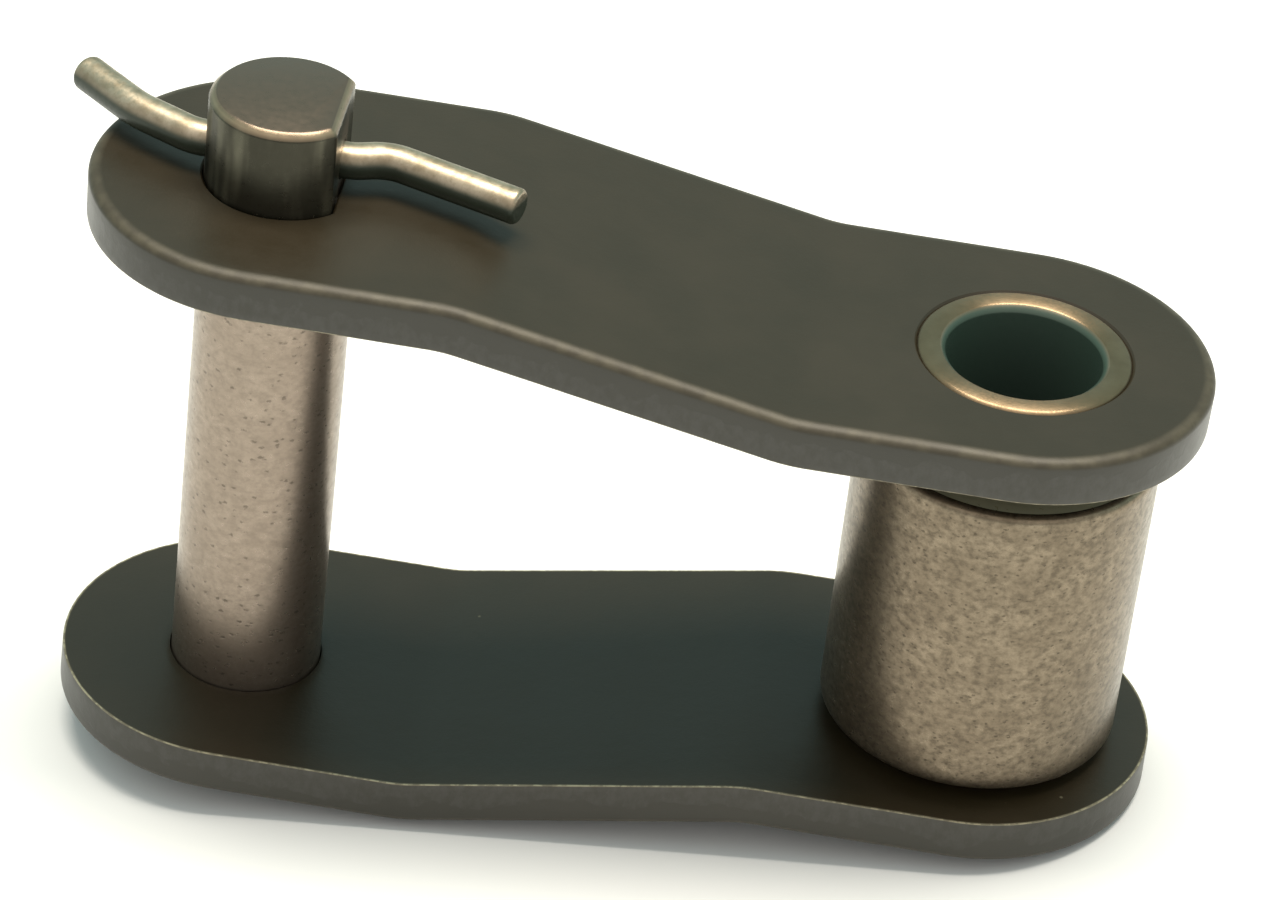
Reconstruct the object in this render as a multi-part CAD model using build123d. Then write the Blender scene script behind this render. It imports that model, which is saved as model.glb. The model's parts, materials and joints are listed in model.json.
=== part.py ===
from build123d import *
import os
from math import atan2, cos, degrees, radians, sin, tan

# Offset link of a roller chain, in millimetres.
# The bush axis is the Z axis, the connecting pin stands at -X, and the cotter end of the pin is up.

# Chain sizes
pitch = 41.4                # connecting pin axis to bush axis
inner_width = 21.7          # gap between the side plates at the bush end
link_clearance = 0.95       # side room on each side of the next link's narrow end

# Side plates
plate_thickness = 2.8
plate_depth = 21.1          # across the straight sides, and the diameter of the round ends
bush_end_flat = 11.7        # bush axis to the first bend, on the inner face
pin_end_flat = 10.7         # pin axis to the second bend, on the inner face
bend_radius = 8.0           # inside radius of both bends
outer_edge = 0.45           # bevel on the rim of the outer face, where blanking pulls the edge down
inner_edge = 0.12           # small bevel on the rim of the inner face, where the sheared edge is tumbled
hole_break = 0.12           # small break at the mouths of the plate holes

# Connecting pin
pin_diameter = 8.6
pin_flat_depth = 1.1        # how deep the flat is cut into the shank
pin_flat_run = 0.3          # how far the flat runs on below the upper plate
pin_hole_clearance = 0.08   # radial, in both plates
pin_end_chamfer = 0.4
pin_end_beyond_cotter = 2.55
head_overhang = 1.0         # how far the head stands out past the shank
head_thickness = 1.1
head_edge = 0.3             # bevel

# Cotter: a round pin bent by hand on both sides, twice each. All radii are to its centre line.
cotter_diameter = 2.05
cotter_gap = 0.6            # between the upper plate and the cotter
cotter_hole_clearance = 0.1
cotter_tip_bevel = 0.2
outer_bend_from_pin = 5.0   # first corner on the end of the link, from the pin axis
outer_neck_length = 3.9     # first to second corner
outer_neck_angle = 27.0     # turned to the back
outer_leg_length = 4.7      # second corner to the tip
outer_leg_angle = 41.0      # from the line of the cross hole, to the back
outer_first_radius = 3.0
outer_second_radius = 6.0
inner_bend_from_pin = 3.9   # first corner on the bush side, from the pin axis
inner_neck_length = 1.9
inner_neck_angle = 21.0     # turned to the back
inner_leg_length = 8.1
inner_leg_angle = 19.5      # turned to the front
inner_first_radius = 2.2
inner_second_radius = 2.6

# Bush
bush_wall = 1.6
bush_running_clearance = 0.05   # radial, to the next link's pin
bush_proud = 0.05               # how far each end stands out of its plate
bush_mouth_chamfer = 0.35
bush_end_chamfer = 0.2

# Roller
roller_diameter = 16.87
roller_clearance = 0.08     # radial, on the bush
roller_lower_gap = 0.55     # the roller has dropped towards the lower plate
roller_upper_gap = 2.4
roller_edge = 0.5           # bevel on both outer rims
roller_bore_chamfer = 0.4

# What follows from the sizes above
pin_radius = pin_diameter / 2
cotter_radius = cotter_diameter / 2
bush_bore_radius = pin_radius + bush_running_clearance
bush_radius = bush_bore_radius + bush_wall
roller_radius = roller_diameter / 2
roller_bore_radius = bush_radius + roller_clearance

narrow_inner = inner_width / 2                      # heights above the link's mid-plane
narrow_outer = narrow_inner + plate_thickness
crank_height = plate_thickness + link_clearance
wide_inner = narrow_inner + crank_height
wide_outer = wide_inner + plate_thickness
cotter_height = wide_outer + cotter_gap + cotter_radius
pin_top = cotter_height + cotter_radius + pin_end_beyond_cotter
pin_bottom = -wide_outer - head_thickness

crank_run = pitch - bush_end_flat - pin_end_flat
crank_angle = atan2(crank_height, crank_run)
through = pitch + plate_depth                       # longer than any feature is deep


def inner_profile_line(offset):
    """Long section line of a plate, at this distance outwards from its inner face."""
    shift = offset * tan(crank_angle / 2)
    left = -pitch - plate_depth
    right = plate_depth
    return FilletPolyline(
        (left, wide_inner + offset),
        (-pitch + pin_end_flat + shift, wide_inner + offset),
        (-bush_end_flat + shift, narrow_inner + offset),
        (right, narrow_inner + offset),
        radius=(bend_radius + offset, bend_radius + plate_thickness - offset),
    )


def bent_strip():
    """Wide strip with the two bends of the crank."""
    inner = inner_profile_line(0)
    outer = inner_profile_line(plate_thickness)
    section = make_face(inner + Line(inner @ 1, outer @ 1) + outer + Line(outer @ 0, inner @ 0))
    return extrude(Plane.XZ * section, plate_depth, both=True)


def rim(faces):
    """Edges that border only one of these faces."""
    edges = [edge for face in faces for edge in face.edges()]
    return [edge for edge in edges if sum(edge.is_same(other) for other in edges) == 1]


def facing(solid, direction):
    """Faces of a plate that face up (1) or down (-1)."""
    return [face for face in solid.faces() if face.normal_at().Z * direction > cos(radians(45))]


def blank_plate():
    """Upper plate without holes: the bent strip trimmed to its long outline with round ends."""
    outline = Pos(-pitch / 2, 0) * SlotCenterToCenter(pitch, plate_depth)
    plate = bent_strip() & extrude(outline, through, both=True)
    plate = chamfer(rim(facing(plate, 1)), outer_edge)
    return chamfer(rim(facing(plate, -1)), inner_edge)


def hole_cutter(outline, low, high):
    """Straight hole between two heights, with a small 45 degree break at both mouths."""
    mouth = offset(outline, hole_break)
    cutter = extrude(outline, through, both=True)
    cutter += Pos(0, 0, high) * extrude(mouth, -hole_break, taper=45)
    cutter += Pos(0, 0, low) * extrude(mouth, hole_break, taper=45)
    return cutter


def flatted_outline(radius, flat_distance):
    """Round outline with one flat, which faces the bush."""
    cut = Pos(flat_distance + radius, 0) * Rectangle(2 * radius, 4 * radius)
    return Circle(radius) - cut


def side_plate(pin_hole_outline):
    """Upper plate, with this hole for the pin and a round one for the bush."""
    pin_hole = Pos(-pitch, 0) * hole_cutter(pin_hole_outline, wide_inner, wide_outer)
    bush_hole = hole_cutter(Circle(bush_radius), narrow_inner, narrow_outer)
    return blank_plate() - pin_hole - bush_hole


def upper_plate():
    """The flat in its hole stops the connecting pin from turning."""
    radius = pin_radius + pin_hole_clearance
    flat_distance = pin_radius - pin_flat_depth + pin_hole_clearance
    return side_plate(flatted_outline(radius, flat_distance))


def lower_plate():
    """Mirror image of the upper plate, with a round hole for the pin."""
    plate = side_plate(Circle(pin_radius + pin_hole_clearance))
    return mirror(plate, about=Plane.XY)


def turned(section):
    """Solid of revolution about Z from a section drawn as (radius, height)."""
    return revolve(Plane.XZ * section, Axis.Z)


def ring_section(inner_radius, outer_radius, low, high):
    """Section of a plain tube between two heights."""
    wall = outer_radius - inner_radius
    centre = ((inner_radius + outer_radius) / 2, (low + high) / 2)
    return Pos(*centre) * Rectangle(wall, high - low)


def inner_corners(section):
    """Corners of a tube's section at its bore."""
    return section.vertices().group_by(Axis.X)[0]


def outer_corners(section):
    """Corners of a tube's section at its outside."""
    return section.vertices().group_by(Axis.X)[-1]


def bush():
    """Tube pressed into both plates. The next link's pin turns in its bore."""
    end = narrow_outer + bush_proud
    section = ring_section(bush_bore_radius, bush_radius, -end, end)
    section = chamfer(outer_corners(section), bush_end_chamfer)
    section = chamfer(inner_corners(section), bush_mouth_chamfer)
    return turned(section)


def roller():
    """Loose on the bush, with all its rims eased."""
    low = -narrow_inner + roller_lower_gap
    high = narrow_inner - roller_upper_gap
    section = ring_section(roller_bore_radius, roller_radius, low, high)
    section = chamfer(outer_corners(section), roller_edge)
    section = chamfer(inner_corners(section), roller_bore_chamfer)
    return turned(section)


def pin_section():
    """Half section of the pin before its flat is cut: head below, chamfered end above."""
    head_radius = pin_radius + head_overhang
    shank = Pos(pin_radius / 2, (pin_top + pin_bottom) / 2) * Rectangle(pin_radius, pin_top - pin_bottom)
    shank = chamfer(shank.vertices().sort_by(Axis.Y)[-2:].sort_by(Axis.X)[-1], pin_end_chamfer)
    head = Pos(head_radius / 2, pin_bottom + head_thickness / 2) * Rectangle(head_radius, head_thickness)
    head = chamfer(head.vertices().sort_by(Axis.Y)[:2].sort_by(Axis.X)[-1], head_edge)
    return shank + head


def pin_flat_cutter():
    """Block that cuts the flat, from just below the upper plate to the end of the pin."""
    low = wide_inner - pin_flat_run
    distance = pin_radius - pin_flat_depth
    centre = (distance + pin_radius, 0, (low + pin_top + through) / 2)
    return Pos(*centre) * Box(2 * pin_radius, 4 * pin_radius, pin_top + through - low)


def connecting_pin():
    """Headed pin with a flat and a cross hole at its upper end."""
    cross_hole = Cylinder(cotter_radius + cotter_hole_clearance, through, rotation=(0, 90, 0))
    pin = turned(pin_section()) - pin_flat_cutter() - Pos(0, 0, cotter_height) * cross_hole
    return Pos(-pitch, 0, 0) * pin


def step(start, length, angle):
    """Point at this distance from the start, at this angle to the X axis."""
    turn = radians(angle)
    return (start[0] + length * cos(turn), start[1] + length * sin(turn))


def cotter_path():
    """Centre line: straight through the pin, with two bends on each side of it."""
    outer_corner = (-outer_bend_from_pin, 0)
    outer_knee = step(outer_corner, outer_neck_length, 180 - outer_neck_angle)
    outer_tip = step(outer_knee, outer_leg_length, 180 - outer_leg_angle)
    inner_corner = (inner_bend_from_pin, 0)
    inner_knee = step(inner_corner, inner_neck_length, inner_neck_angle)
    inner_tip = step(inner_knee, inner_leg_length, -inner_leg_angle)
    return FilletPolyline(
        outer_tip,
        outer_knee,
        outer_corner,
        inner_corner,
        inner_knee,
        inner_tip,
        radius=(outer_second_radius, outer_first_radius, inner_first_radius, inner_second_radius),
    )


def cotter_pin():
    """Round rod through the cross hole, with both cut ends eased."""
    path = cotter_path()
    rod = sweep(Plane(origin=path @ 0, z_dir=path % 0) * Circle(cotter_radius), path=path)
    rod = chamfer(rod.faces().filter_by(GeomType.PLANE).edges(), cotter_tip_bevel)
    return Pos(-pitch, 0, cotter_height) * rod


pieces = {
    "upper_plate": upper_plate(),
    "lower_plate": lower_plate(),
    "bush": bush(),
    "roller": roller(),
    "connecting_pin": connecting_pin(),
    "cotter_pin": cotter_pin(),
}

os.makedirs("parts", exist_ok=True)
for name, shape in pieces.items():
    export_step(shape, f"parts/{name}.step")
    print(name, "volume", round(shape.volume, 2), "mm3")
print("crank angle", round(degrees(crank_angle), 2), "degrees")
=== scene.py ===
import json
from math import atan2, cos, pi, radians, sin, sqrt, tan

import bmesh
import bpy
from mathutils import Matrix, Vector, noise

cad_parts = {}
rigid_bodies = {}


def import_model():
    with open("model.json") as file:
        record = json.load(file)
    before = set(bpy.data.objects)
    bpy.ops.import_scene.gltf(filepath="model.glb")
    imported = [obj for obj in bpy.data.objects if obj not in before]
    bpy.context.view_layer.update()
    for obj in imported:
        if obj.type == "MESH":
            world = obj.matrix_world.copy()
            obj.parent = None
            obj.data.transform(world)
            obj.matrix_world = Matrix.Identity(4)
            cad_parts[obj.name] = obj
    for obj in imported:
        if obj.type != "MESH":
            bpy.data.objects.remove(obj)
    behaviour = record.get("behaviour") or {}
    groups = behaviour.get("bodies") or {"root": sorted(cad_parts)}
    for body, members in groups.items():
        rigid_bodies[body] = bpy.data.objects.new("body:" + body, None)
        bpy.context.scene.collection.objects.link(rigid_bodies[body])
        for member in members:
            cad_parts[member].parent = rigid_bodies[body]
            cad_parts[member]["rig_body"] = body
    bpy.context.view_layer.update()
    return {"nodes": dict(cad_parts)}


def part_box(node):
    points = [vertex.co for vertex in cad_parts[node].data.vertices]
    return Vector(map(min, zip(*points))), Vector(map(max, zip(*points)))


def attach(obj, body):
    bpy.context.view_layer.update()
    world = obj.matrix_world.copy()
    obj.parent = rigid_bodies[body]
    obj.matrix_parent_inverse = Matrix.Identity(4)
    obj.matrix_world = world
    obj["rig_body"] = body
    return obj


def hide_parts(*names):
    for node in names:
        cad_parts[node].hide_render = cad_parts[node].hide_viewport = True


# The looks of the offset link, in metres and in the part's own frame: the bush lies along Z with its
# middle at the origin, and the connecting pin stands at -X with its cotter end up.
MM = 0.001

# Camera, as fitted to the photograph, whose frame is 1280 by 900 pixels
IMAGE_WIDTH = 1280
FOCAL_LENGTH_PX = 5711.2
SENSOR_WIDTH = 36.0
CAMERA_AZIMUTH = radians(3.56)
CAMERA_ELEVATION = radians(34.63)
CAMERA_ROLL = radians(7.08)
CAMERA_DISTANCE = 0.3191
CAMERA_TARGET = Vector((-0.02025, 0.00083, 0.00262))
CAMERA_REACH = (0.01, 10.0)   # nearest and farthest that it sees

# Room, floor and light
SKY_BACK = (0.42, 0.60, 0.56)
SKY_FRONT = (0.78, 0.76, 0.70)
SKY_BACK_EDGE = 0.2           # the back's colour holds where a direction's Y is over this
SKY_FRONT_EDGE = -0.6         # and the front's where it is under this
FLOOR_COLOUR = (0.875, 0.89, 0.92)
FLOOR_ROUGHNESS = 0.9
FLOOR_HALF_WIDTH = 1.5
KEY_PLACE = Vector((-0.02, 0.05, 0.50))
KEY_AIM = Vector((-0.02, 0.0, 0.0))
KEY_SIZE = (0.44, 0.20)
KEY_POWER = 4.1
KEY_COLOUR = (1.0, 0.90, 0.76)

# Plates: what the frame's boxes don't say
PLATE_THICKNESS = 2.8 * MM
BUSH_END_FLAT = 11.7 * MM
PIN_END_FLAT = 10.7 * MM
BEND_RADIUS = 8.0 * MM
ROLL_WIDTH = 0.75 * MM        # round edge that blanking leaves on the outer face
ROLL_DEPTH = 0.50 * MM
ROLL_WEAR = 0.10
INNER_EDGE = 0.15 * MM        # small round on the sharp rim of the inner face
SHEAR_WEAR = 0.9              # of that rim
HOLE_BREAK = 0.12 * MM
PIN_HOLE_CLEARANCE = 0.08 * MM
WALL_TAPER = 0.03 * MM        # the sheared wall leans in a little towards the inner face
FACE_SWELL = 0.02 * MM        # depth of the slow waves that tumbling leaves on the faces
FACE_WAVE = 5.0 * MM          # and their size

# Connecting pin
PIN_DIAMETER = 8.6 * MM
PIN_FLAT_DEPTH = 1.1 * MM
PIN_FLAT_RUN = 0.3 * MM
PIN_END_CHAMFER = 0.4 * MM
HEAD_THICKNESS = 1.1 * MM
HEAD_EDGE = 0.3 * MM
SHANK_WAVES = ((2.5 * MM, 0.02 * MM),)    # size and depth of the waves from tumbling

# Cotter
COTTER_HOLE_CLEARANCE = 0.1 * MM
COTTER_TIP_EDGE = 0.30 * MM
OUTER_BEND_FROM_PIN = 5.0 * MM
OUTER_NECK = (3.9 * MM, radians(27.0))
OUTER_LEG = (4.7 * MM, radians(41.0))
OUTER_RADII = (3.0 * MM, 6.0 * MM)
INNER_BEND_FROM_PIN = 3.9 * MM
INNER_NECK = (1.9 * MM, radians(21.0))
INNER_LEG = (8.1 * MM, radians(19.5))
INNER_RADII = (2.2 * MM, 2.6 * MM)

# Bush and roller
BUSH_WALL = 1.6 * MM
BUSH_MOUTH_CHAMFER = 0.35 * MM
BUSH_END_CHAMFER = 0.2 * MM
ROLLER_CLEARANCE = 0.08 * MM
ROLLER_EDGE = 0.55 * MM
ROLLER_BORE_CHAMFER = 0.4 * MM
ROLLER_WAVES = ((3.0 * MM, 0.03 * MM), (0.9 * MM, 0.012 * MM))
ROLLER_EDGE_WEAR = 0.5

# Zones of the pin and the roller, whose other walls are zone 0. On a plate the zone is the distance from
# its inner face instead, as a share of its thickness.
# Painted reflection: the pin's side above the upper plate is painted dark, standing for the dark plate
# that it mirrors
PAINTED_SHADE_ZONE = 0.5               # the pin's side above the upper plate
END_ZONE = 1.0                # end faces

# How finely the meshes are cut
CAP_STEPS = 72                # round each end of a plate
SIDE_STEPS = 96               # along each side of a plate
QUARTER_STEPS = 24            # of those, beside each quarter of a hole
FACE_STEPS = 14               # from the rim of a plate to its holes
TURN_STEPS = 192              # round a turned piece
CORNER_STEPS = 6              # round the edges of turned pieces and of the cotter's tips
ROD_STEPS = 48                # round the cotter
ROD_SPACING = 0.25 * MM       # along the cotter
MERGE_DISTANCE = 0.002 * MM   # points that are closer than this become one
CUT_MERGE_DISTANCE = 0.0005 * MM    # the same after the cross hole is cut
CUT_SLIVER = 0.0001 * MM      # shorter edges are taken out there

# Colours, as linear red, green and blue. A pair is blended from the first to the second.
PLATE_SKIN = ((0.0165, 0.0118, 0.0050), (0.0240, 0.0172, 0.0080))
PLATE_WALL = (0.030, 0.028, 0.020)
PLATE_TORN = (0.042, 0.040, 0.033)
PLATE_BARE = (0.46, 0.42, 0.30)
BUSH_STEEL = ((0.20, 0.138, 0.082), (0.33, 0.24, 0.155))
# Dark steel of the bore, tinted teal as painted shade
BUSH_BORE_OXIDE_AND_SHADE = (0.042, 0.072, 0.056)
PIN_STEEL = ((0.290, 0.235, 0.188), (0.330, 0.270, 0.218))
# Painted reflection: dark colour of the pin's side above the upper plate
PIN_PAINTED_SHADE = (0.052, 0.049, 0.036)
PIN_END = (0.160, 0.122, 0.096)
ROLLER_STEEL = ((0.195, 0.156, 0.110), (0.255, 0.207, 0.148))
# Painted shade: dark line round the rims of the roller's end faces
ROLLER_RIM_PAINTED_SHADE = (0.060, 0.056, 0.040)
# Painted light: pale end faces of the roller, which lie in the plates' shade
ROLLER_END_PAINTED_LIGHT = (0.34, 0.34, 0.24)
RUBBED_EDGE = (0.50, 0.38, 0.26)
COTTER_WIRE = ((0.36, 0.29, 0.205), (0.57, 0.48, 0.37))
COTTER_DULL = (0.20, 0.17, 0.12)
# Painted shade on the cotter's underside
COTTER_UNDERSIDE_SHADE = (0.030, 0.038, 0.026)

# Sockets of a Mix node that blends colours
MIX_SHARE, MIX_FIRST, MIX_SECOND = 0, 6, 7
MIX_RESULT = 2

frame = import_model()

upper_low, upper_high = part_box("upper_plate")
pin_low, pin_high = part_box("connecting_pin")
bush_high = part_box("bush")[1]
roller_low, roller_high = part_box("roller")
cotter_low, cotter_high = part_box("cotter_pin")

END_RADIUS = upper_high.y
PITCH = -(upper_low.x + END_RADIUS)
NARROW_INNER = upper_low.z
WIDE_INNER = upper_high.z - PLATE_THICKNESS
CRANK_ANGLE = atan2(WIDE_INNER - NARROW_INNER, PITCH - BUSH_END_FLAT - PIN_END_FLAT)
BUSH_RADIUS = bush_high.x
PIN_RADIUS = PIN_DIAMETER / 2
PIN_FLAT = PIN_RADIUS - PIN_FLAT_DEPTH
COTTER_RADIUS = (cotter_high.z - cotter_low.z) / 2
COTTER_HEIGHT = (cotter_high.z + cotter_low.z) / 2


class Shape:
    """Points and faces of a piece. Each point has its wear and its zone, both from 0 to 1."""

    def __init__(self):
        self.points = []
        self.wear = []
        self.zone = []
        self.faces = []

    def ring(self, points, wear=0.0, zone=0.0):
        """Adds points and returns their numbers."""
        first = len(self.points)
        self.points += points
        self.wear += [wear] * len(points)
        self.zone += [zone] * len(points)
        return list(range(first, len(self.points)))

    def join(self, ring_a, ring_b):
        """Faces between two closed rings with equally many points."""
        count = len(ring_a)
        for i in range(count):
            j = (i + 1) % count
            self.faces.append((ring_a[i], ring_a[j], ring_b[j], ring_b[i]))

    def loft(self, rings):
        """Faces from each ring to the next. A ring is its points, their wear and their zone."""
        numbered = [self.ring(*ring) for ring in rings]
        for ring_a, ring_b in zip(numbered, numbered[1:]):
            self.join(ring_a, ring_b)
        return numbered

    def cap(self, ring):
        """One face across a closed ring."""
        self.faces.append(tuple(ring))


def make_piece(name, shape, node, finish, sharp=radians(30)):
    """Object from a shape, which stands for a CAD node and rides on its body."""
    bm = bmesh.new()
    wear_layer = bm.verts.layers.float.new("wear")
    zone_layer = bm.verts.layers.float.new("zone")
    vertices = [bm.verts.new(point) for point in shape.points]
    for vertex, wear, zone in zip(vertices, shape.wear, shape.zone):
        vertex[wear_layer] = wear
        vertex[zone_layer] = zone
    for face in shape.faces:
        bm.faces.new([vertices[i] for i in face])
    bmesh.ops.remove_doubles(bm, verts=bm.verts, dist=MERGE_DISTANCE)
    bmesh.ops.recalc_face_normals(bm, faces=bm.faces)
    for face in bm.faces:
        face.smooth = True
    for edge in bm.edges:
        edge.smooth = not (edge.is_manifold and edge.calc_face_angle(0) > sharp)
    mesh = bpy.data.meshes.new(name)
    bm.to_mesh(mesh)
    bm.free()
    mesh.materials.append(finish)
    piece = bpy.data.objects.new(name, mesh)
    bpy.context.scene.collection.objects.link(piece)
    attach(piece, frame["nodes"][node]["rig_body"])
    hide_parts(node)
    return piece


def swell(x, y, z, size, depth):
    """Slow random wave, from 0 to the depth, over features of this size."""
    return depth * (0.5 + 0.5 * max(-1.0, min(1.0, noise.noise(Vector((x, y, z)) / size))))


# Plates

def plate_height(x, offset):
    """Height above the mid-plane of the plate's layer at this distance from its inner face."""
    half = tan(CRANK_ANGLE / 2)
    first_corner = -PITCH + PIN_END_FLAT + offset * half
    second_corner = -BUSH_END_FLAT + offset * half
    first_radius = BEND_RADIUS + offset
    second_radius = BEND_RADIUS + PLATE_THICKNESS - offset
    first_start = first_corner - first_radius * half
    first_end = first_corner + first_radius * half * cos(CRANK_ANGLE)
    second_start = second_corner - second_radius * half * cos(CRANK_ANGLE)
    second_end = second_corner + second_radius * half
    if x < first_start:
        return WIDE_INNER + offset
    if x < first_end:
        return WIDE_INNER + offset - first_radius + sqrt(first_radius ** 2 - (x - first_start) ** 2)
    if x < second_start:
        return WIDE_INNER + offset - (x - first_corner) * tan(CRANK_ANGLE)
    if x < second_end:
        return NARROW_INNER + offset + second_radius - sqrt(second_radius ** 2 - (x - second_end) ** 2)
    return NARROW_INNER + offset


def outline_spots():
    """Places round a plate: the centre that each one turns about, and its direction."""
    spots = [(0.0, pi * i / CAP_STEPS - pi / 2) for i in range(CAP_STEPS)]
    spots += [(-PITCH * i / SIDE_STEPS, pi / 2) for i in range(SIDE_STEPS)]
    spots += [(-PITCH, pi * i / CAP_STEPS + pi / 2) for i in range(CAP_STEPS)]
    spots += [(PITCH * i / SIDE_STEPS - PITCH, 3 * pi / 2) for i in range(SIDE_STEPS)]
    return spots


def hole_point(centre_x, radius, angle, flat=None):
    """Point on a round hole's edge. A flat cuts it off on the side of the bush."""
    reach = radius
    if flat is not None and cos(angle) > 0:
        reach = min(radius, flat / cos(angle))
    return (centre_x + reach * cos(angle), reach * sin(angle))


def inner_path(pin_hole, bush_hole):
    """Line that the outline shrinks to: round both holes, and along the middle between them."""
    quarter = [pi / 2 * i / QUARTER_STEPS for i in range(QUARTER_STEPS)]
    middle_steps = SIDE_STEPS - 2 * QUARTER_STEPS
    right = bush_hole(pi)[0]
    left = pin_hole(0.0)[0]
    middle = [(right + (left - right) * i / middle_steps, 0.0) for i in range(middle_steps)]
    path = [bush_hole(pi * i / CAP_STEPS - pi / 2) for i in range(CAP_STEPS)]
    path += [bush_hole(pi / 2 + turn) for turn in quarter]
    path += middle
    path += [pin_hole(turn) for turn in quarter]
    path += [pin_hole(pi * i / CAP_STEPS + pi / 2) for i in range(CAP_STEPS)]
    path += [pin_hole(3 * pi / 2 + turn) for turn in quarter]
    path += [(left + right - x, y) for x, y in middle]
    path += [bush_hole(pi + turn) for turn in quarter]
    return path


def hole_angles(towards):
    """Directions round a hole that meet the points of the inner path. The plate's end lies this way."""
    angles = [towards + pi * i / CAP_STEPS - pi / 2 for i in range(CAP_STEPS)]
    angles += [towards + pi / 2 + pi / 2 * i / QUARTER_STEPS for i in range(2 * QUARTER_STEPS)]
    return angles


def rim_profile():
    """Inset, distance from the inner face and wear, from the inner face round the wall to the outer."""
    inner_steps, wall_steps, outer_steps = 3, 5, 10
    profile = []
    for i in range(inner_steps + 1):
        turn = pi / 2 * i / inner_steps
        inset = WALL_TAPER + INNER_EDGE * (1 - sin(turn))
        profile.append((inset, INNER_EDGE * (1 - cos(turn)), SHEAR_WEAR * sin(2 * turn)))
    wall_low = INNER_EDGE
    wall_high = PLATE_THICKNESS - ROLL_DEPTH
    for i in range(1, wall_steps):
        share = i / wall_steps
        profile.append((WALL_TAPER * (1 - share), wall_low + (wall_high - wall_low) * share, 0.0))
    for i in range(outer_steps + 1):
        turn = pi / 2 * i / outer_steps
        wear = ROLL_WEAR * sin(2 * turn)
        profile.append((ROLL_WIDTH * (1 - cos(turn)), wall_high + ROLL_DEPTH * sin(turn), wear))
    return profile


def plate(name, node, side, pin_flat, finish):
    """Cranked plate with two holes. The side is 1 above the mid-plane and -1 below it."""
    shape = Shape()
    spots = outline_spots()
    pin_hole_radius = PIN_RADIUS + PIN_HOLE_CLEARANCE

    def place(x, y, offset):
        # The inner face cuts the rim's round off at half its height, which leaves a crisp corner
        layer = max(offset, INNER_EDGE / 2)
        height = plate_height(x, layer - swell(x, y, side, FACE_WAVE, FACE_SWELL) + FACE_SWELL / 2)
        return (x, y, side * min(height, WIDE_INNER + PLATE_THICKNESS))

    def rim_ring(inset, offset):
        reach = END_RADIUS - inset
        return [place(x + reach * cos(turn), reach * sin(turn), offset) for x, turn in spots]

    def pin_hole(angle, opened=0.0):
        flat = None if pin_flat is None else pin_flat + PIN_HOLE_CLEARANCE + opened
        return hole_point(-PITCH, pin_hole_radius + opened, angle, flat)

    def bush_hole(angle, opened=0.0):
        return hole_point(0.0, BUSH_RADIUS + opened, angle)

    def face_rings(rim, offset):
        inner = inner_path(
            lambda angle: pin_hole(angle, HOLE_BREAK),
            lambda angle: bush_hole(angle, HOLE_BREAK),
        )
        rings = []
        for i in range(1, FACE_STEPS + 1):
            share = i / FACE_STEPS
            ring = [
                place(a[0] + (b[0] - a[0]) * share, a[1] + (b[1] - a[1]) * share, offset)
                for a, b in zip(rim, inner)
            ]
            rings.append((ring, 0.0, offset / PLATE_THICKNESS))
        return rings

    rim = [
        (rim_ring(inset, offset), wear, offset / PLATE_THICKNESS)
        for inset, offset, wear in rim_profile()
    ]
    inner_rings = face_rings(rim[0][0], 0.0)
    outer_rings = face_rings(rim[-1][0], PLATE_THICKNESS)
    shape.loft(list(reversed(inner_rings)) + rim + outer_rings)

    for hole, towards in ((bush_hole, 0.0), (pin_hole, pi)):
        angles = hole_angles(towards)
        steps = (
            (HOLE_BREAK, 0.0),
            (0.0, HOLE_BREAK),
            (0.0, PLATE_THICKNESS - HOLE_BREAK),
            (HOLE_BREAK, PLATE_THICKNESS),
        )
        rings = []
        for opened, offset in steps:
            ring = [place(*hole(angle, opened), offset) for angle in angles]
            rings.append((ring, 0.0, offset / PLATE_THICKNESS))
        shape.loft(rings)
    return make_piece(name, shape, node, finish)


# Turned pieces

def round_corner(radius, start):
    """Quarter circle from this direction, as steps along both axes and their wear."""
    turns = [start + pi / 2 * i / CORNER_STEPS for i in range(CORNER_STEPS + 1)]
    return [(radius * cos(turn), radius * sin(turn), abs(sin(2 * (turn - start)))) for turn in turns]


def turned_ring(centre_x, radius, height, flat=None):
    """Circle about a vertical axis. A flat cuts it off on the side of the bush."""
    points = []
    for i in range(TURN_STEPS):
        turn = 2 * pi * i / TURN_STEPS
        x = radius * cos(turn)
        if flat is not None:
            x = min(x, flat)
        points.append((centre_x + x, radius * sin(turn), height))
    return points


def waved_ring(centre_x, radius, height, waves):
    """Circle about a vertical axis, sunk by slow waves of these sizes and depths."""
    ring = []
    for x, y, z in turned_ring(0.0, radius, height):
        sunk = sum(swell(x, y, z, size, depth) for size, depth in waves)
        ring.append((centre_x + x * (1 - sunk / radius), y * (1 - sunk / radius), z))
    return ring


def bush(finish):
    """Ring pressed into both plates, with eased ends."""
    bore = BUSH_RADIUS - BUSH_WALL
    half = bush_high.z
    eased = 0.05 * MM
    # Radius, height and wear of each corner, from the bore to the outside
    corners = [
        (bore, half - BUSH_MOUTH_CHAMFER - 2 * eased, 0.0),
        (bore, half - BUSH_MOUTH_CHAMFER, 0.0),
        (bore + BUSH_MOUTH_CHAMFER - eased, half - eased, 0.12),
        (bore + BUSH_MOUTH_CHAMFER + eased, half, 0.8),
        (BUSH_RADIUS - BUSH_END_CHAMFER - eased, half, 0.8),
        (BUSH_RADIUS - BUSH_END_CHAMFER + eased, half - eased, 0.8),
        (BUSH_RADIUS, half - BUSH_END_CHAMFER, 0.5),
    ]
    profile = corners + [(radius, -height, wear) for radius, height, wear in reversed(corners)]
    shape = Shape()
    rings = [(turned_ring(0.0, radius, height), wear) for radius, height, wear in profile]
    numbered = shape.loft(rings)
    shape.join(numbered[-1], numbered[0])
    return make_piece("bush_ring", shape, "bush", finish, sharp=radians(50))


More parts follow.
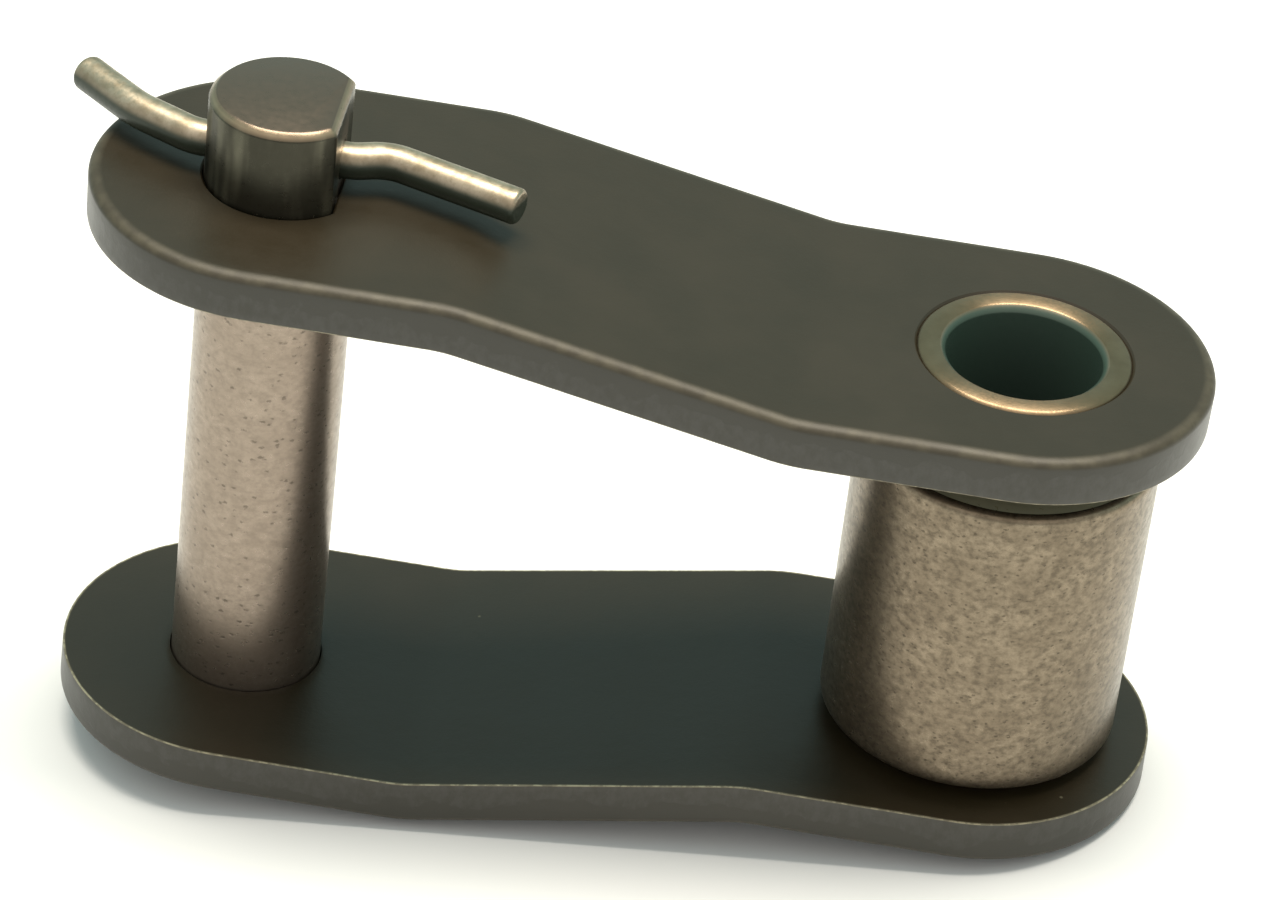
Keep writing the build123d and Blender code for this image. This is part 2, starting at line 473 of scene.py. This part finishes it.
def roller(finish):
    """Rounded tube, a little uneven from tumbling."""
    radius = roller_high.x
    bore = BUSH_RADIUS + ROLLER_CLEARANCE
    low, high = roller_low.z, roller_high.z
    wall_steps = 60
    profile = [(bore, low + ROLLER_BORE_CHAMFER, 0.0), (bore + ROLLER_BORE_CHAMFER, low, 0.0)]
    for across, along, wear in round_corner(ROLLER_EDGE, -pi / 2):
        profile.append((radius - ROLLER_EDGE + across, low + ROLLER_EDGE + along, wear))
    for i in range(1, wall_steps):
        height = low + ROLLER_EDGE + (high - low - 2 * ROLLER_EDGE) * i / wall_steps
        profile.append((radius, height, 0.0))
    for across, along, wear in round_corner(ROLLER_EDGE, 0.0):
        profile.append((radius - ROLLER_EDGE + across, high - ROLLER_EDGE + along, wear))
    profile += [(bore + ROLLER_BORE_CHAMFER, high, 0.0), (bore, high - ROLLER_BORE_CHAMFER, 0.0)]
    shape = Shape()
    rings = []
    for reach, height, wear in profile:
        waves = ROLLER_WAVES if reach > radius - ROLLER_EDGE else ()
        zone = END_ZONE if height in (low, high) else 0.0
        rings.append((waved_ring(0.0, reach, height, waves), ROLLER_EDGE_WEAR * wear, zone))
    numbered = shape.loft(rings)
    shape.join(numbered[-1], numbered[0])
    return make_piece("roller_tube", shape, "roller", finish)


def pin(finish):
    """Headed pin with a flat, a cross hole and an eased upper end."""
    head_radius = (pin_high.x - pin_low.x) / 2
    low, high = pin_low.z, pin_high.z
    flat_start = WIDE_INNER - PIN_FLAT_RUN
    shank_steps = 80
    shape = Shape()
    rings = []
    for across, along, wear in round_corner(HEAD_EDGE, -pi / 2):
        ring = turned_ring(-PITCH, head_radius - HEAD_EDGE + across, low + HEAD_EDGE + along)
        rings.append((ring, wear))
    rings.append((turned_ring(-PITCH, head_radius, low + HEAD_THICKNESS), 0.5))
    for i in range(shank_steps + 1):
        height = low + HEAD_THICKNESS + (flat_start - low - HEAD_THICKNESS) * i / shank_steps
        rings.append((waved_ring(-PITCH, PIN_RADIUS, height, SHANK_WAVES), 0.0))
    rings.append((turned_ring(-PITCH, PIN_RADIUS, flat_start, PIN_FLAT), 0.0, PAINTED_SHADE_ZONE))
    eased = 0.08 * MM
    # Inset, depth below the end face and wear, up the chamfer
    steps = (
        (0.0, PIN_END_CHAMFER + eased, 0.0),
        (eased / 2, PIN_END_CHAMFER - eased / 2, 0.5),
        (PIN_END_CHAMFER / 2, PIN_END_CHAMFER / 2, 0.7),
        (PIN_END_CHAMFER - eased / 2, eased / 2, 0.5),
        (PIN_END_CHAMFER + eased, 0.0, 0.0),
    )
    for inset, depth, wear in steps:
        ring = turned_ring(-PITCH, PIN_RADIUS - inset, high - depth, PIN_FLAT - inset)
        rings.append((ring, wear, END_ZONE if depth < PIN_END_CHAMFER / 4 else PAINTED_SHADE_ZONE))
    numbered = shape.loft(rings)
    shape.cap(numbered[0])
    shape.cap(numbered[-1])
    piece = make_piece("headed_pin", shape, "connecting_pin", finish)
    drill(piece, COTTER_RADIUS + COTTER_HOLE_CLEARANCE, COTTER_HEIGHT)
    return piece


def drill(piece, radius, height):
    """Cuts the cross hole for the cotter, along X."""
    bm = bmesh.new()
    length = 2 * PIN_DIAMETER
    turned = Matrix.Translation((-PITCH, 0, height)) @ Matrix.Rotation(pi / 2, 4, "Y")
    bmesh.ops.create_cone(
        bm, segments=ROD_STEPS, radius1=radius, radius2=radius, depth=length,
        cap_ends=True, matrix=turned,
    )
    mesh = bpy.data.meshes.new("drill")
    bm.to_mesh(mesh)
    bm.free()
    cutter = bpy.data.objects.new("drill", mesh)
    bpy.context.scene.collection.objects.link(cutter)
    modifier = piece.modifiers.new("cross_hole", "BOOLEAN")
    modifier.object = cutter
    modifier.operation = "DIFFERENCE"
    modifier.solver = "EXACT"
    bpy.context.view_layer.update()
    cut = bpy.data.meshes.new_from_object(piece.evaluated_get(bpy.context.evaluated_depsgraph_get()))
    bm = bmesh.new()
    bm.from_mesh(cut)
    bmesh.ops.remove_doubles(bm, verts=bm.verts, dist=CUT_MERGE_DISTANCE)
    bmesh.ops.dissolve_degenerate(bm, edges=bm.edges, dist=CUT_SLIVER)
    bm.to_mesh(cut)
    bm.free()
    piece.modifiers.clear()
    piece.data = cut
    bpy.data.objects.remove(cutter)


# Cotter

def stepped(start, length, turn):
    """Point at this distance and direction from the start."""
    return Vector((start.x + length * cos(turn), start.y + length * sin(turn)))


def rounded_line(corners, radii):
    """Points along a line whose inner corners are arcs of these radii."""
    points = [corners[0]]
    arc_steps = 10
    for before, corner, after, radius in zip(corners, corners[1:], corners[2:], radii):
        into = (corner - before).normalized()
        out = (after - corner).normalized()
        turn = atan2(into.x * out.y - into.y * out.x, into.dot(out))
        start = corner - into * radius * tan(abs(turn) / 2)
        for i in range(arc_steps + 1):
            swept = abs(turn) * i / arc_steps
            ahead = into * radius * sin(swept)
            aside = Vector((-into.y, into.x)) * radius * (1 - cos(swept)) * (1 if turn > 0 else -1)
            points.append(start + ahead + aside)
    points.append(corners[-1])
    return points


def spread_evenly(points, spacing):
    """The same line with points at an even spacing."""
    even = []
    for a, b in zip(points, points[1:]):
        count = max(1, round((b - a).length / spacing))
        even += [a + (b - a) * i / count for i in range(count)]
    return even + [points[-1]]


def cotter_line():
    """Centre line from the outer tip, through the pin, to the inner tip."""
    outer_corner = Vector((-OUTER_BEND_FROM_PIN, 0))
    outer_knee = stepped(outer_corner, OUTER_NECK[0], pi - OUTER_NECK[1])
    outer_tip = stepped(outer_knee, OUTER_LEG[0], pi - OUTER_LEG[1])
    inner_corner = Vector((INNER_BEND_FROM_PIN, 0))
    inner_knee = stepped(inner_corner, INNER_NECK[0], INNER_NECK[1])
    inner_tip = stepped(inner_knee, INNER_LEG[0], -INNER_LEG[1])
    corners = [outer_tip, outer_knee, outer_corner, inner_corner, inner_knee, inner_tip]
    radii = (OUTER_RADII[1], OUTER_RADII[0], INNER_RADII[0], INNER_RADII[1])
    return spread_evenly(rounded_line(corners, radii), ROD_SPACING)


def rod_ring(centre, ahead, radius):
    """Circle across the rod."""
    aside = Vector((-ahead.y, ahead.x))
    ring = []
    for i in range(ROD_STEPS):
        turn = 2 * pi * i / ROD_STEPS
        across = aside * radius * cos(turn)
        x = centre.x + across.x - PITCH
        y = centre.y + across.y
        z = COTTER_HEIGHT + radius * sin(turn)
        ring.append((x, y, z))
    return ring


def cotter(finish):
    """Round rod, bent by hand, with cut ends that are a little rounded."""
    line = cotter_line()
    shape = Shape()
    rings = []
    ahead_first = (line[1] - line[0]).normalized()
    ahead_last = (line[-1] - line[-2]).normalized()
    for across, along, wear in round_corner(COTTER_TIP_EDGE, pi / 2):
        centre = line[0] + ahead_first * (COTTER_TIP_EDGE + across)
        rings.insert(0, (rod_ring(centre, ahead_first, COTTER_RADIUS - COTTER_TIP_EDGE + along), wear))
    for before, centre, after in zip(line, line[1:-1], line[2:]):
        if (centre - line[0]).length > COTTER_TIP_EDGE and (centre - line[-1]).length > COTTER_TIP_EDGE:
            rings.append((rod_ring(centre, (after - before).normalized(), COTTER_RADIUS), 0.0))
    for across, along, wear in reversed(round_corner(COTTER_TIP_EDGE, 0.0)):
        centre = line[-1] + ahead_last * (across - COTTER_TIP_EDGE)
        rings.append((rod_ring(centre, ahead_last, COTTER_RADIUS - COTTER_TIP_EDGE + along), wear))
    numbered = shape.loft(rings)
    shape.cap(numbered[0])
    shape.cap(numbered[-1])
    return make_piece("bent_cotter", shape, "cotter_pin", finish)


# Materials

class Finish:
    """A material, with short calls that build its nodes. Feature sizes are in metres."""

    def __init__(self, name, **constants):
        self.material = bpy.data.materials.new(name)
        self.material.use_nodes = True
        self.tree = self.material.node_tree
        self.shader = self.tree.nodes["Principled BSDF"]
        for socket, value in constants.items():
            self.shader.inputs[socket.replace("_", " ")].default_value = value
        self.place = self.add("ShaderNodeTexCoord").outputs["Object"]

    def add(self, kind, inputs=None, **settings):
        """Adds a node. An input is a value or another node's output."""
        node = self.tree.nodes.new(kind)
        for key, value in settings.items():
            setattr(node, key, value)
        for key, value in (inputs or {}).items():
            if isinstance(value, bpy.types.NodeSocket):
                self.tree.links.new(value, node.inputs[key])
            else:
                node.inputs[key].default_value = value
        return node

    def squeezed(self, flatness):
        """Place on the piece. With a flatness over 1, features are wide and low, and under 1 upright."""
        inputs = {"Vector": self.place, "Scale": (1, 1, flatness)}
        return self.add("ShaderNodeMapping", inputs).outputs["Vector"]

    def noise(self, size, detail=2.0, roughness=0.5, flatness=1.0):
        """Noise with features of this size."""
        inputs = {
            "Vector": self.squeezed(flatness), "Scale": 1 / size, "Detail": detail,
            "Roughness": roughness,
        }
        return self.add("ShaderNodeTexNoise", inputs).outputs["Fac"]

    def cells(self, size, flatness=1.0):
        """Distance to the nearest of scattered points, as a share of their spacing."""
        inputs = {"Vector": self.squeezed(flatness), "Scale": 1 / size}
        return self.add("ShaderNodeTexVoronoi", inputs).outputs["Distance"]

    def value(self, name):
        """The mesh's own wear or zone."""
        return self.add("ShaderNodeAttribute", attribute_name=name).outputs["Fac"]

    def span(self, value, low, high, to_low=0.0, to_high=1.0):
        """Value stretched from one span to another, smoothly and without overshoot."""
        inputs = {"Value": value, "From Min": low, "From Max": high, "To Min": to_low, "To Max": to_high}
        return self.add("ShaderNodeMapRange", inputs, interpolation_type="SMOOTHSTEP").outputs["Result"]

    def fall(self, value, low, high, top=1.0):
        """The top up to the low end of this span, and 0 from its high end on."""
        return self.span(value, low, high, top, 0.0)

    def math(self, operation, a, b):
        """Two values combined."""
        return self.add("ShaderNodeMath", {0: a, 1: b}, operation=operation).outputs["Value"]

    def times(self, a, b):
        """Product of two values."""
        return self.math("MULTIPLY", a, b)

    def blend(self, share, first, second):
        """Colour between two colours, each fixed or another node's output."""
        inputs = {MIX_SHARE: share}
        for key, colour in ((MIX_FIRST, first), (MIX_SECOND, second)):
            inputs[key] = colour if isinstance(colour, bpy.types.NodeSocket) else (*colour, 1.0)
        return self.add("ShaderNodeMix", inputs, data_type="RGBA").outputs[MIX_RESULT]

    def relief(self, height, depth, under=None):
        """Bump of this depth. It can lie on another one."""
        inputs = {"Height": height, "Distance": depth, "Strength": 1.0}
        if under is not None:
            inputs["Normal"] = under
        return self.add("ShaderNodeBump", inputs).outputs["Normal"]

    def drive(self, **sources):
        """Links outputs to the shader's inputs."""
        for socket, source in sources.items():
            self.tree.links.new(source, self.shader.inputs[socket.replace("_", " ")])


def plate_finish():
    """Oil-blackened steel under a brown oil film, with a grey sheared wall and worn rims."""
    finish = Finish("plate_blackened", IOR=1.48)
    clouds = finish.noise(5.0 * MM, detail=4.0, roughness=0.6)
    grain = finish.noise(0.14 * MM, detail=3.0, roughness=0.65)
    dents = finish.noise(0.9 * MM, detail=3.0, roughness=0.6)
    wear = finish.value("wear")
    level = finish.value("zone")

    wall = finish.times(finish.span(level, 0.01, 0.10), finish.fall(level, 0.78, 0.95))
    skin = finish.blend(wall, finish.blend(clouds, *PLATE_SKIN), PLATE_WALL)

    # The half of the wall next to the inner face is torn, up to a wavy line
    waves = finish.noise(3.0 * MM, detail=3.0, roughness=0.6)
    wavy_level = finish.math("ADD", level, finish.span(waves, 0.3, 0.7, -0.2, 0.2))
    torn = finish.times(finish.fall(wavy_level, 0.50, 0.58), finish.span(level, 0.01, 0.06))
    streaks = finish.noise(0.5 * MM, detail=4.0, roughness=0.6, flatness=0.6)
    skin = finish.blend(finish.times(torn, finish.span(streaks, 0.3, 0.7)), skin, PLATE_TORN)

    # The rims are rubbed in patches and chipped to bare steel, and a few bright dots lie on the faces
    patches = finish.noise(1.0 * MM, detail=2.0, roughness=0.5)
    chips = finish.noise(0.5 * MM, detail=3.0, roughness=0.6)
    rubbed = finish.times(wear, finish.span(patches, 0.35, 0.65, 0.45, 1.0))
    chipped = finish.times(finish.span(wear, 0.2, 0.8), finish.span(chips, 0.40, 0.62, 0.15, 1.0))
    worn = finish.math("MAXIMUM", finish.math("MINIMUM", rubbed, 0.35), chipped)
    dots = finish.fall(finish.cells(6.0 * MM), 0.012, 0.024, top=0.3)
    worn = finish.math("MAXIMUM", worn, dots)

    face_roughness = finish.span(clouds, 0.3, 0.7, 0.34, 0.40)
    rim_roughness = finish.span(wear, 0.0, 0.1, 0.0, 0.13)
    bumps = finish.relief(grain, 0.005 * MM, finish.relief(dents, 0.014 * MM))
    finish.drive(
        Base_Color=finish.blend(worn, skin, PLATE_BARE),
        Metallic=finish.times(worn, 0.9),
        Roughness=finish.math("ADD", face_roughness, rim_roughness),
        Normal=finish.relief(finish.times(torn, streaks), 0.010 * MM, bumps),
    )
    return finish.material


def bush_finish():
    """Tan ground steel at both ends, with the sheen of turning, and a dark bore whose steel colour is
    tinted teal as painted shade.
    """
    finish = Finish("bush_ground", IOR=1.5, Anisotropic=0.75, Anisotropic_Rotation=0.25)
    turned = finish.add("ShaderNodeTangent", direction_type="RADIAL", axis="Z")
    clouds = finish.noise(1.0 * MM, detail=3.0)
    grain = finish.noise(0.12 * MM, detail=2.0)
    bare = finish.span(finish.value("wear"), 0.05, 0.2)
    finish.drive(
        Base_Color=finish.blend(bare, BUSH_BORE_OXIDE_AND_SHADE, finish.blend(clouds, *BUSH_STEEL)),
        Metallic=bare,
        Roughness=finish.span(grain, 0.3, 0.7, 0.30, 0.40),
        Normal=finish.relief(grain, 0.003 * MM),
        Tangent=turned.outputs["Tangent"],
    )
    return finish.material


def tumbled_finish(name, steel, mottling, pit_size, pit_shade, painted_shade, end, end_metal):
    """Tumbled satin steel with soft mottling and small pits, a zone painted dark as shade and an end
    face.
    """
    finish = Finish(name)
    dark = steel[0]
    mottled = tuple((1 - mottling) * part for part in dark)
    pitted = tuple(0.30 * part for part in dark)
    painted_shade_streaks = tuple(2.6 * part for part in painted_shade)
    zone = finish.value("zone")

    clouds = finish.noise(2.2 * MM, detail=3.0, roughness=0.6, flatness=1.2)
    mottle = finish.noise(0.5 * MM, detail=4.0, roughness=0.65, flatness=1.3)
    tone = finish.blend(finish.span(clouds, 0.3, 0.7), *steel)
    tone = finish.blend(finish.span(mottle, 0.34, 0.74), tone, mottled)

    # Ragged pits, but none in the painted shade or on the ends
    ragged = finish.span(finish.noise(0.12 * MM, detail=2.0), 0.3, 0.7, -0.07, 0.07)
    near = finish.math("ADD", finish.cells(pit_size, flatness=1.6), ragged)
    pits = finish.times(finish.fall(near, 0.08, 0.24), finish.fall(zone, 0.1, 0.5))
    tone = finish.blend(finish.times(pits, pit_shade), tone, pitted)

    # Painted shade in vertical streaks, end faces and rubbed edges
    streaks = finish.noise(1.2 * MM, detail=2.0, flatness=0.15)
    shade_tone = finish.blend(finish.span(streaks, 0.45, 0.75), painted_shade, painted_shade_streaks)
    tone = finish.blend(finish.span(zone, 0.1, 0.5), tone, shade_tone)
    # End faces; on the roller they are painted pale as light
    tone = finish.blend(finish.span(zone, 0.6, 1.0), tone, end)
    rubbed = finish.span(finish.value("wear"), 0.3, 0.8)
    tone = finish.blend(finish.times(rubbed, 0.7), tone, RUBBED_EDGE)

    grain = finish.noise(0.09 * MM, detail=2.0)
    bumps = finish.relief(mottle, 0.006 * MM, finish.relief(grain, 0.002 * MM))
    finish.drive(
        Base_Color=tone,
        Metallic=finish.span(zone, 0.6, 1.0, 0.88, end_metal),
        Roughness=finish.span(mottle, 0.3, 0.7, 0.27, 0.34),
        Normal=finish.relief(finish.math("SUBTRACT", 1.0, pits), 0.005 * MM, bumps),
    )
    return finish.material


def pin_finish():
    """Satin steel with soft brown specks, its side above the upper plate painted dark as a painted
    reflection of the dark plate, and a brown-grey end.
    """
    return tumbled_finish(
        "pin_satin", PIN_STEEL, mottling=0.16, pit_size=0.8 * MM, pit_shade=0.6,
        painted_shade=PIN_PAINTED_SHADE, end=PIN_END, end_metal=0.88,
    )


def roller_finish():
    """Satin steel, more mottled and pitted than the pin, with end faces painted pale as light in the
    plates' shade and a painted shade line round their rims.
    """
    return tumbled_finish(
        "roller_satin", ROLLER_STEEL, mottling=0.42, pit_size=0.6 * MM, pit_shade=0.65,
        painted_shade=ROLLER_RIM_PAINTED_SHADE, end=ROLLER_END_PAINTED_LIGHT, end_metal=0.1,
    )


def cotter_finish():
    """Bright drawn wire with dull patches, and painted shade, dark teal, on its underside."""
    finish = Finish("cotter_bright")
    height = finish.add("ShaderNodeSeparateXYZ", {"Vector": finish.place}).outputs["Z"]
    # Painted shade: the cotter darkens from a little above its middle downwards
    shade_full_height = COTTER_HEIGHT + 0.15 * COTTER_RADIUS
    shade_gone_height = COTTER_HEIGHT + 0.75 * COTTER_RADIUS
    painted_underside_shade = finish.fall(height, shade_full_height, shade_gone_height)
    clouds = finish.noise(1.1 * MM, detail=4.0, roughness=0.6)
    mottle = finish.noise(0.3 * MM, detail=3.0, roughness=0.6)
    tone = finish.blend(finish.span(clouds, 0.3, 0.7), *COTTER_WIRE)
    tone = finish.blend(finish.span(mottle, 0.5, 0.8, 0.0, 0.5), tone, COTTER_DULL)
    finish.drive(
        Base_Color=finish.blend(painted_underside_shade, tone, COTTER_UNDERSIDE_SHADE),
        Metallic=finish.span(painted_underside_shade, 0.0, 1.0, 1.0, 0.3),
        Roughness=finish.span(mottle, 0.3, 0.7, 0.34, 0.46),
        Normal=finish.relief(mottle, 0.008 * MM),
    )
    return finish.material


# Stage

def floor_plane():
    """Point and upward direction of the plane that the pin's head and the lower plate's end rest on."""
    narrow_outer = NARROW_INNER + PLATE_THICKNESS
    head_edge = Vector((pin_high.x, 0, pin_low.z))
    plate_end = Vector((END_RADIUS, 0, -narrow_outer))
    along = (plate_end - head_edge).normalized()
    return head_edge, Vector((-along.z, 0, along.x))


def floor():
    """Plain pale floor, far wider than the view."""
    point, up = floor_plane()
    mesh = bpy.data.meshes.new("floor")
    signs = ((-1, -1), (1, -1), (1, 1), (-1, 1))
    corners = [(x * FLOOR_HALF_WIDTH, y * FLOOR_HALF_WIDTH, 0) for x, y in signs]
    mesh.from_pydata(corners, [], [(0, 1, 2, 3)])
    paint = bpy.data.materials.new("floor_white")
    paint.use_nodes = True
    shader = paint.node_tree.nodes["Principled BSDF"]
    shader.inputs["Base Color"].default_value = (*FLOOR_COLOUR, 1.0)
    shader.inputs["Roughness"].default_value = FLOOR_ROUGHNESS
    shader.inputs["Specular IOR Level"].default_value = 0.0
    mesh.materials.append(paint)
    sheet = bpy.data.objects.new("floor", mesh)
    sheet.rotation_mode = "QUATERNION"
    sheet.rotation_quaternion = up.to_track_quat("Z", "Y")
    sheet.location = point
    bpy.context.scene.collection.objects.link(sheet)


def studio_sky():
    """Dim teal room to the back, which the plates mirror, and paler towards the front."""
    world = bpy.data.worlds.new("studio")
    world.use_nodes = True
    tree = world.node_tree
    direction = tree.nodes.new("ShaderNodeTexCoord")
    axes = tree.nodes.new("ShaderNodeSeparateXYZ")
    share = tree.nodes.new("ShaderNodeMapRange")
    share.inputs["From Min"].default_value = SKY_BACK_EDGE
    share.inputs["From Max"].default_value = SKY_FRONT_EDGE
    tint = tree.nodes.new("ShaderNodeMix")
    tint.data_type = "RGBA"
    tint.inputs[MIX_FIRST].default_value = (*SKY_BACK, 1.0)
    tint.inputs[MIX_SECOND].default_value = (*SKY_FRONT, 1.0)
    tree.links.new(direction.outputs["Generated"], axes.inputs["Vector"])
    tree.links.new(axes.outputs["Y"], share.inputs["Value"])
    tree.links.new(share.outputs["Result"], tint.inputs[MIX_SHARE])
    tree.links.new(tint.outputs[MIX_RESULT], tree.nodes["Background"].inputs["Color"])
    bpy.context.scene.world = world


def key_light():
    """Large warm soft box overhead, a little to the back, which the camera doesn't see."""
    lamp = bpy.data.lights.new("key", "AREA")
    lamp.shape = "RECTANGLE"
    lamp.size, lamp.size_y = KEY_SIZE
    lamp.energy = KEY_POWER
    lamp.color = KEY_COLOUR
    box = bpy.data.objects.new("key", lamp)
    box.location = KEY_PLACE
    box.rotation_mode = "QUATERNION"
    box.rotation_quaternion = (KEY_AIM - KEY_PLACE).to_track_quat("-Z", "Y")
    box.visible_camera = False
    bpy.context.scene.collection.objects.link(box)


def camera():
    """The photograph's own view."""
    back = Vector((
        sin(CAMERA_AZIMUTH) * cos(CAMERA_ELEVATION),
        -cos(CAMERA_AZIMUTH) * cos(CAMERA_ELEVATION),
        sin(CAMERA_ELEVATION),
    ))
    level_right = (-back).cross(Vector((0, 0, 1))).normalized()
    level_up = back.cross(level_right)
    right = cos(CAMERA_ROLL) * level_right + sin(CAMERA_ROLL) * level_up
    up = cos(CAMERA_ROLL) * level_up - sin(CAMERA_ROLL) * level_right
    data = bpy.data.cameras.new("photo_view")
    data.sensor_width = SENSOR_WIDTH
    data.lens = FOCAL_LENGTH_PX * SENSOR_WIDTH / IMAGE_WIDTH
    data.clip_start, data.clip_end = CAMERA_REACH
    eye = bpy.data.objects.new("photo_view", data)
    turned = Matrix((right, up, back)).transposed().to_4x4()
    eye.matrix_world = Matrix.Translation(CAMERA_TARGET + back * CAMERA_DISTANCE) @ turned
    bpy.context.scene.collection.objects.link(eye)
    bpy.context.scene.camera = eye


def build():
    """All pieces with their finishes."""
    plate_paint = plate_finish()
    upper = plate("plate_with_flatted_hole", "upper_plate", 1, PIN_FLAT, plate_paint)
    lower = plate("plate_with_round_hole", "lower_plate", -1, None, plate_paint)
    slots = {
        "plate_steel": (upper, lower),
        "bush_steel": (bush(bush_finish()),),
        "roller_steel": (roller(roller_finish()),),
        "pin_steel": (pin(pin_finish()),),
        "cotter_steel": (cotter(cotter_finish()),),
    }
    for slot, pieces in slots.items():
        for piece in pieces:
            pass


build()
floor()
studio_sky()
key_light()
camera()
bpy.context.scene.view_settings.view_transform = "Standard"
